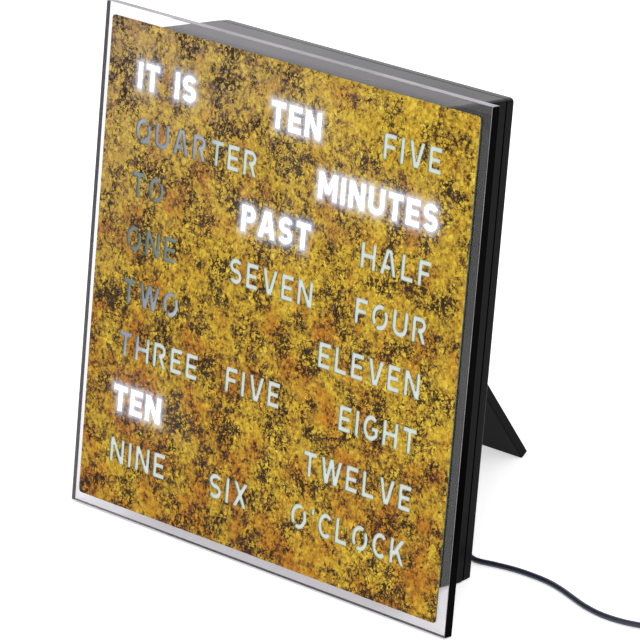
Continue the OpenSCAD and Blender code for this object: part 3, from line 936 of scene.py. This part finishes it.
# bright zinc on steel, a little blurred in what it mirrors
steel = speckled(
    "zinc_plated_steel",
    per_metre=1200,
    detail=3,
    shades=("9C9EA2", "C4C6C9"),
    Metallic=1.0,
    Roughness=0.35,
)[0]
dress(steel, "clock_crystal", "capacitors", "board_screws")
dress(steel, "cover_screws", "hinge_pin", "plug_shell")

# ---------------------------------------------------------------------------------------------
# The case: a deep frame and a rear cover moulded in black ABS, screwed together. The mould was
# spark eroded, so that the skin has a fine grain that hides its almost black gloss.

# the real grain is about 0.1 mm and is drawn at 0.25 mm so that it shows at all
abs_black, tree, shader, grain, tint = speckled(
    "black_abs_spark_grain",
    per_metre=4000,
    detail=3,
    shades=("060506", "100F10"),
    lace=0.6,
    Roughness=0.3,
    IOR=1.53,
    Specular_IOR_Level=0.06,
)
where = add(tree, "ShaderNodeTexCoord")
# hands leave smears about 45 mm across
smears = add(
    tree,
    "ShaderNodeTexNoise",
    {"Vector": where.outputs["Object"], "Scale": 22.0, "Detail": 3.0},
)
# A painted sheen makes the top gray, more to the left, where it catches the room's light. In the
# coordinates that are used here the top is at Z 178.8, and the back at Y -22.4.
places = add(tree, "ShaderNodeSeparateXYZ", {"Vector": upright_millimetres(tree).outputs[0]})
top_face_mask = add(
    tree,
    "ShaderNodeMapRange",
    {"Value": places.outputs["Z"], "From Min": 177.9, "From Max": 178.5},
)
painted_light_spread = add(
    tree,
    "ShaderNodeMapRange",
    {
        "Value": places.outputs["X"],
        "From Min": -60.0,
        "From Max": 75.0,
        "To Min": 0.4,
        "To Max": 0.16,
    },
)
uneven = add(
    tree,
    "ShaderNodeMath",
    {0: smears.outputs["Fac"], 1: 0.5, 2: 0.75},
    operation="MULTIPLY_ADD",
)
sheen_amount = add(
    tree,
    "ShaderNodeMath",
    {0: painted_light_spread.outputs["Result"], 1: uneven.outputs[0]},
    operation="MULTIPLY",
)
painted_top_sheen = add(
    tree,
    "ShaderNodeMath",
    {0: top_face_mask.outputs["Result"], 1: sheen_amount.outputs[0]},
    operation="MULTIPLY",
)
top_sheen_mixed = add(
    tree,
    "ShaderNodeMix",
    {0: painted_top_sheen.outputs[0], 6: tint.outputs["Color"], 7: tone("A9A6AA")},
    data_type="RGBA",
)
# the back has a coarser grain that handling has polished unevenly, and is a little paler
rubbed = add(
    tree,
    "ShaderNodeMath",
    {0: smears.outputs["Fac"], 1: 0.8, 2: grain.outputs["Fac"]},
    operation="MULTIPLY_ADD",
)
coarse = add(tree, "ShaderNodeValToRGB", {"Fac": rubbed.outputs[0]})
coarse.color_ramp.elements[0].position = 0.72
coarse.color_ramp.elements[0].color = tone("151415")
coarse.color_ramp.elements[1].position = 1.0
coarse.color_ramp.elements[1].color = tone("302F31")
behind = add(
    tree,
    "ShaderNodeMapRange",
    {"Value": places.outputs["Y"], "From Min": -22.8, "From Max": -22.5},
)
backed = add(
    tree,
    "ShaderNodeMix",
    {0: behind.outputs["Result"], 6: top_sheen_mixed.outputs[2], 7: coarse.outputs["Color"]},
    data_type="RGBA",
)
tree.links.new(backed.outputs[2], shader.inputs["Base Color"])
handled = add(
    tree,
    "ShaderNodeMapRange",
    {
        "Value": smears.outputs["Fac"],
        "From Min": 0.3,
        "From Max": 0.7,
        "To Min": 0.26,
        "To Max": 0.36,
    },
)
tree.links.new(handled.outputs["Result"], shader.inputs["Roughness"])
eroded = add(
    tree,
    "ShaderNodeBump",
    {"Height": grain.outputs["Fac"], "Strength": 0.25, "Distance": 0.00005},
)
tree.links.new(eroded.outputs["Normal"], shader.inputs["Normal"])
dress(abs_black, "case_frame", "rear_cover")

# ---------------------------------------------------------------------------------------------
# The strut and the two keys: mouldings of their own. The strut swings on a steel pin between
# the cover's cheeks, and the keys slide in the cover against their switches.

# the strut has a coarser, duller grain that hardly shines, drawn at a third of a millimetre
matt, tree, shader, grain = speckled(
    "black_abs_matt",
    per_metre=3000,
    detail=3,
    shades=("060506", "141314"),
    lace=0.6,
    Roughness=0.6,
    IOR=1.53,
    Specular_IOR_Level=0.07,
)[:4]
eroded = add(
    tree,
    "ShaderNodeBump",
    {"Height": grain.outputs["Fac"], "Strength": 0.3, "Distance": 0.00006},
)
tree.links.new(eroded.outputs["Normal"], shader.inputs["Normal"])
dress(matt, "strut")

# the keys are gray, so that a finger finds them, with a satin skin
key_gray = speckled(
    "gray_abs_moulded",
    per_metre=3000,
    detail=2,
    shades=("4A4A4D", "5A5A5E"),
    Roughness=0.42,
    IOR=1.53,
)[0]
dress(key_gray, "hour_key", "minute_key")

# ---------------------------------------------------------------------------------------------
# The lead: 1.5 m of two-core low-voltage cable, 2.2 mm thick, in a blue-black PVC jacket. It
# leaves the cover through a ribbed sleeve, lies on the table, and its spare length is wound.

# soft PVC, smooth from the extruder, with a dull gloss and a blue cast
jacket = speckled(
    "blue_black_pvc_jacket",
    per_metre=500,
    detail=3,
    shades=("14132A", "262540"),
    Roughness=0.4,
    IOR=1.54,
)[0]
dress(jacket, "inner_lead")

# the overmoulded elastomer of sleeve, tie and plug is matt and feels like rubber
rubber = speckled(
    "black_tpe_overmould",
    per_metre=2200,
    detail=2,
    shades=("111113", "1C1C20"),
    Roughness=0.55,
    IOR=1.5,
)[0]
dress(rubber, "strain_relief", "coil_tie", "plug_grip")

# The route, in metres: out of the sleeve, round behind the case, and across the table. Each
# height is that of the lead's underside.
THICK = 0.0022
RADIUS = THICK / 2
OFF_TABLE = 0.00005
ROUTE = (
    (0.0365, -0.007, 0.0024),
    (0.0389, -0.004, 0.0016),
    (0.0434, -0.002, 0.0008),
    (0.0494, -0.0024, 0.0002),
    (0.0556, -0.0058, 0),
    (0.0615, -0.0105, 0),
    (0.0684, -0.0132, 0),
    (0.076, -0.012, 0),
    (0.0845, -0.0107, 0),
    (0.093, -0.0103, 0),
    (0.102, -0.0107, 0),
    (0.11, -0.0122, 0),
    (0.118, -0.0146, 0),
    (0.127, -0.0173, 0),
    (0.137, -0.0188, 0),
    (0.148, -0.0184, 0.0002),
)
SLEEVE_TIP = (36, 47.5, 17)  # in the clock's own frame
COIL_MIDDLE = Vector((0.167, 0.0024, 0))
COIL_LOW = 0.0018
COIL_OUTER = 0.0184
COIL_TURNS = 16.25
LAYERS = 4
LAYER_TURNS = 4
CLIMB = 0.5  # turns that the lead takes to climb to the next layer
PITCH = 0.00265
exit_point = STAND @ Vector(SLEEVE_TIP)
outward = Vector((0, math.cos(LEAN), -math.sin(LEAN)))
first_turn = COIL_MIDDLE + Vector((0, -COIL_OUTER, COIL_LOW))


def between(a, b, c, d, t):
    """A point of the smooth curve through four points, between the middle two."""
    return 0.5 * (
        2 * b
        + (c - a) * t
        + (2 * a - 5 * b + 4 * c - d) * t * t
        + (3 * b - a - 3 * c + d) * t * t * t
    )


def ease(t):
    """Runs from 0 to 1 without a jerk at either end."""
    t = max(0.0, min(1.0, t))
    return t * t * (3 - 2 * t)


def wound(u):
    """The point of the coil after u turns: layer on layer, inwards and out again by turns."""
    layer = min(int(u // LAYER_TURNS), LAYERS - 1)
    done = u - layer * LAYER_TURNS
    radius = COIL_OUTER - PITCH * (done if layer % 2 == 0 else LAYER_TURNS - done)
    climbs = [ease((u - n * LAYER_TURNS) / CLIMB + 0.5) for n in range(1, LAYERS)]
    height = COIL_LOW + PITCH * sum(climbs)
    turn = 2 * math.pi * u - math.pi / 2
    return COIL_MIDDLE + Vector((radius * math.cos(turn), radius * math.sin(turn), height))


stops = [exit_point + 2 * THICK * outward]
stops += [Vector(p) + Vector((0, 0, RADIUS + OFF_TABLE)) for p in ROUTE]
stops += [first_turn - Vector((3 * THICK, 0, 0))]
# three points of the path to each stop, and 24 to each turn of the coil
STOP_POINTS = 3
TURN_POINTS = 24
path = [exit_point, exit_point + THICK * outward]
for i in range(len(stops) - 1):
    four = [stops[max(0, min(len(stops) - 1, i + k))] for k in (-1, 0, 1, 2)]
    path += [between(*four, t / STOP_POINTS) for t in range(STOP_POINTS)]
path += [stops[-1], first_turn - Vector((THICK, 0, 0))]
path += [wound(i / TURN_POINTS) for i in range(int(COIL_TURNS * TURN_POINTS) + 1)]
# the tail leaves the coil level, comes down, and enters the middle of the plug's grip level
LEVEL_OUT = 0.004
LEVEL_IN = 0.005
TAIL = 0.027
TAIL_PARTS = 9
PLUG_HEIGHT = 0.00375
tail_from = path[-1]
for i in range(1, TAIL_PARTS + 1):
    along = i / TAIL_PARTS * (TAIL - THICK)
    share = ease((along - LEVEL_OUT) / (TAIL - LEVEL_OUT - LEVEL_IN))
    fall = (PLUG_HEIGHT - tail_from.z) * share
    path.append(tail_from + Vector((0, along, fall)))
path.append(Vector((tail_from.x, tail_from.y + TAIL, PLUG_HEIGHT)))

# a trace thinner than the real lead, so that it stays within the solid that it stands for
curve = bpy.data.curves.new("power_lead", "CURVE")
curve.dimensions = "3D"
curve.bevel_depth = RADIUS * 0.995
curve.bevel_resolution = 3
curve.use_fill_caps = True
line = curve.splines.new("POLY")
line.points.add(len(path) - 1)
for point, place in zip(line.points, path):
    point.co = (*place, 1)
curve.materials.append(jacket)
lead = bpy.data.objects.new("power_lead", curve)
scene.collection.objects.link(lead)
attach(lead, "clock_case")
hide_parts("cord", "cord_coil")
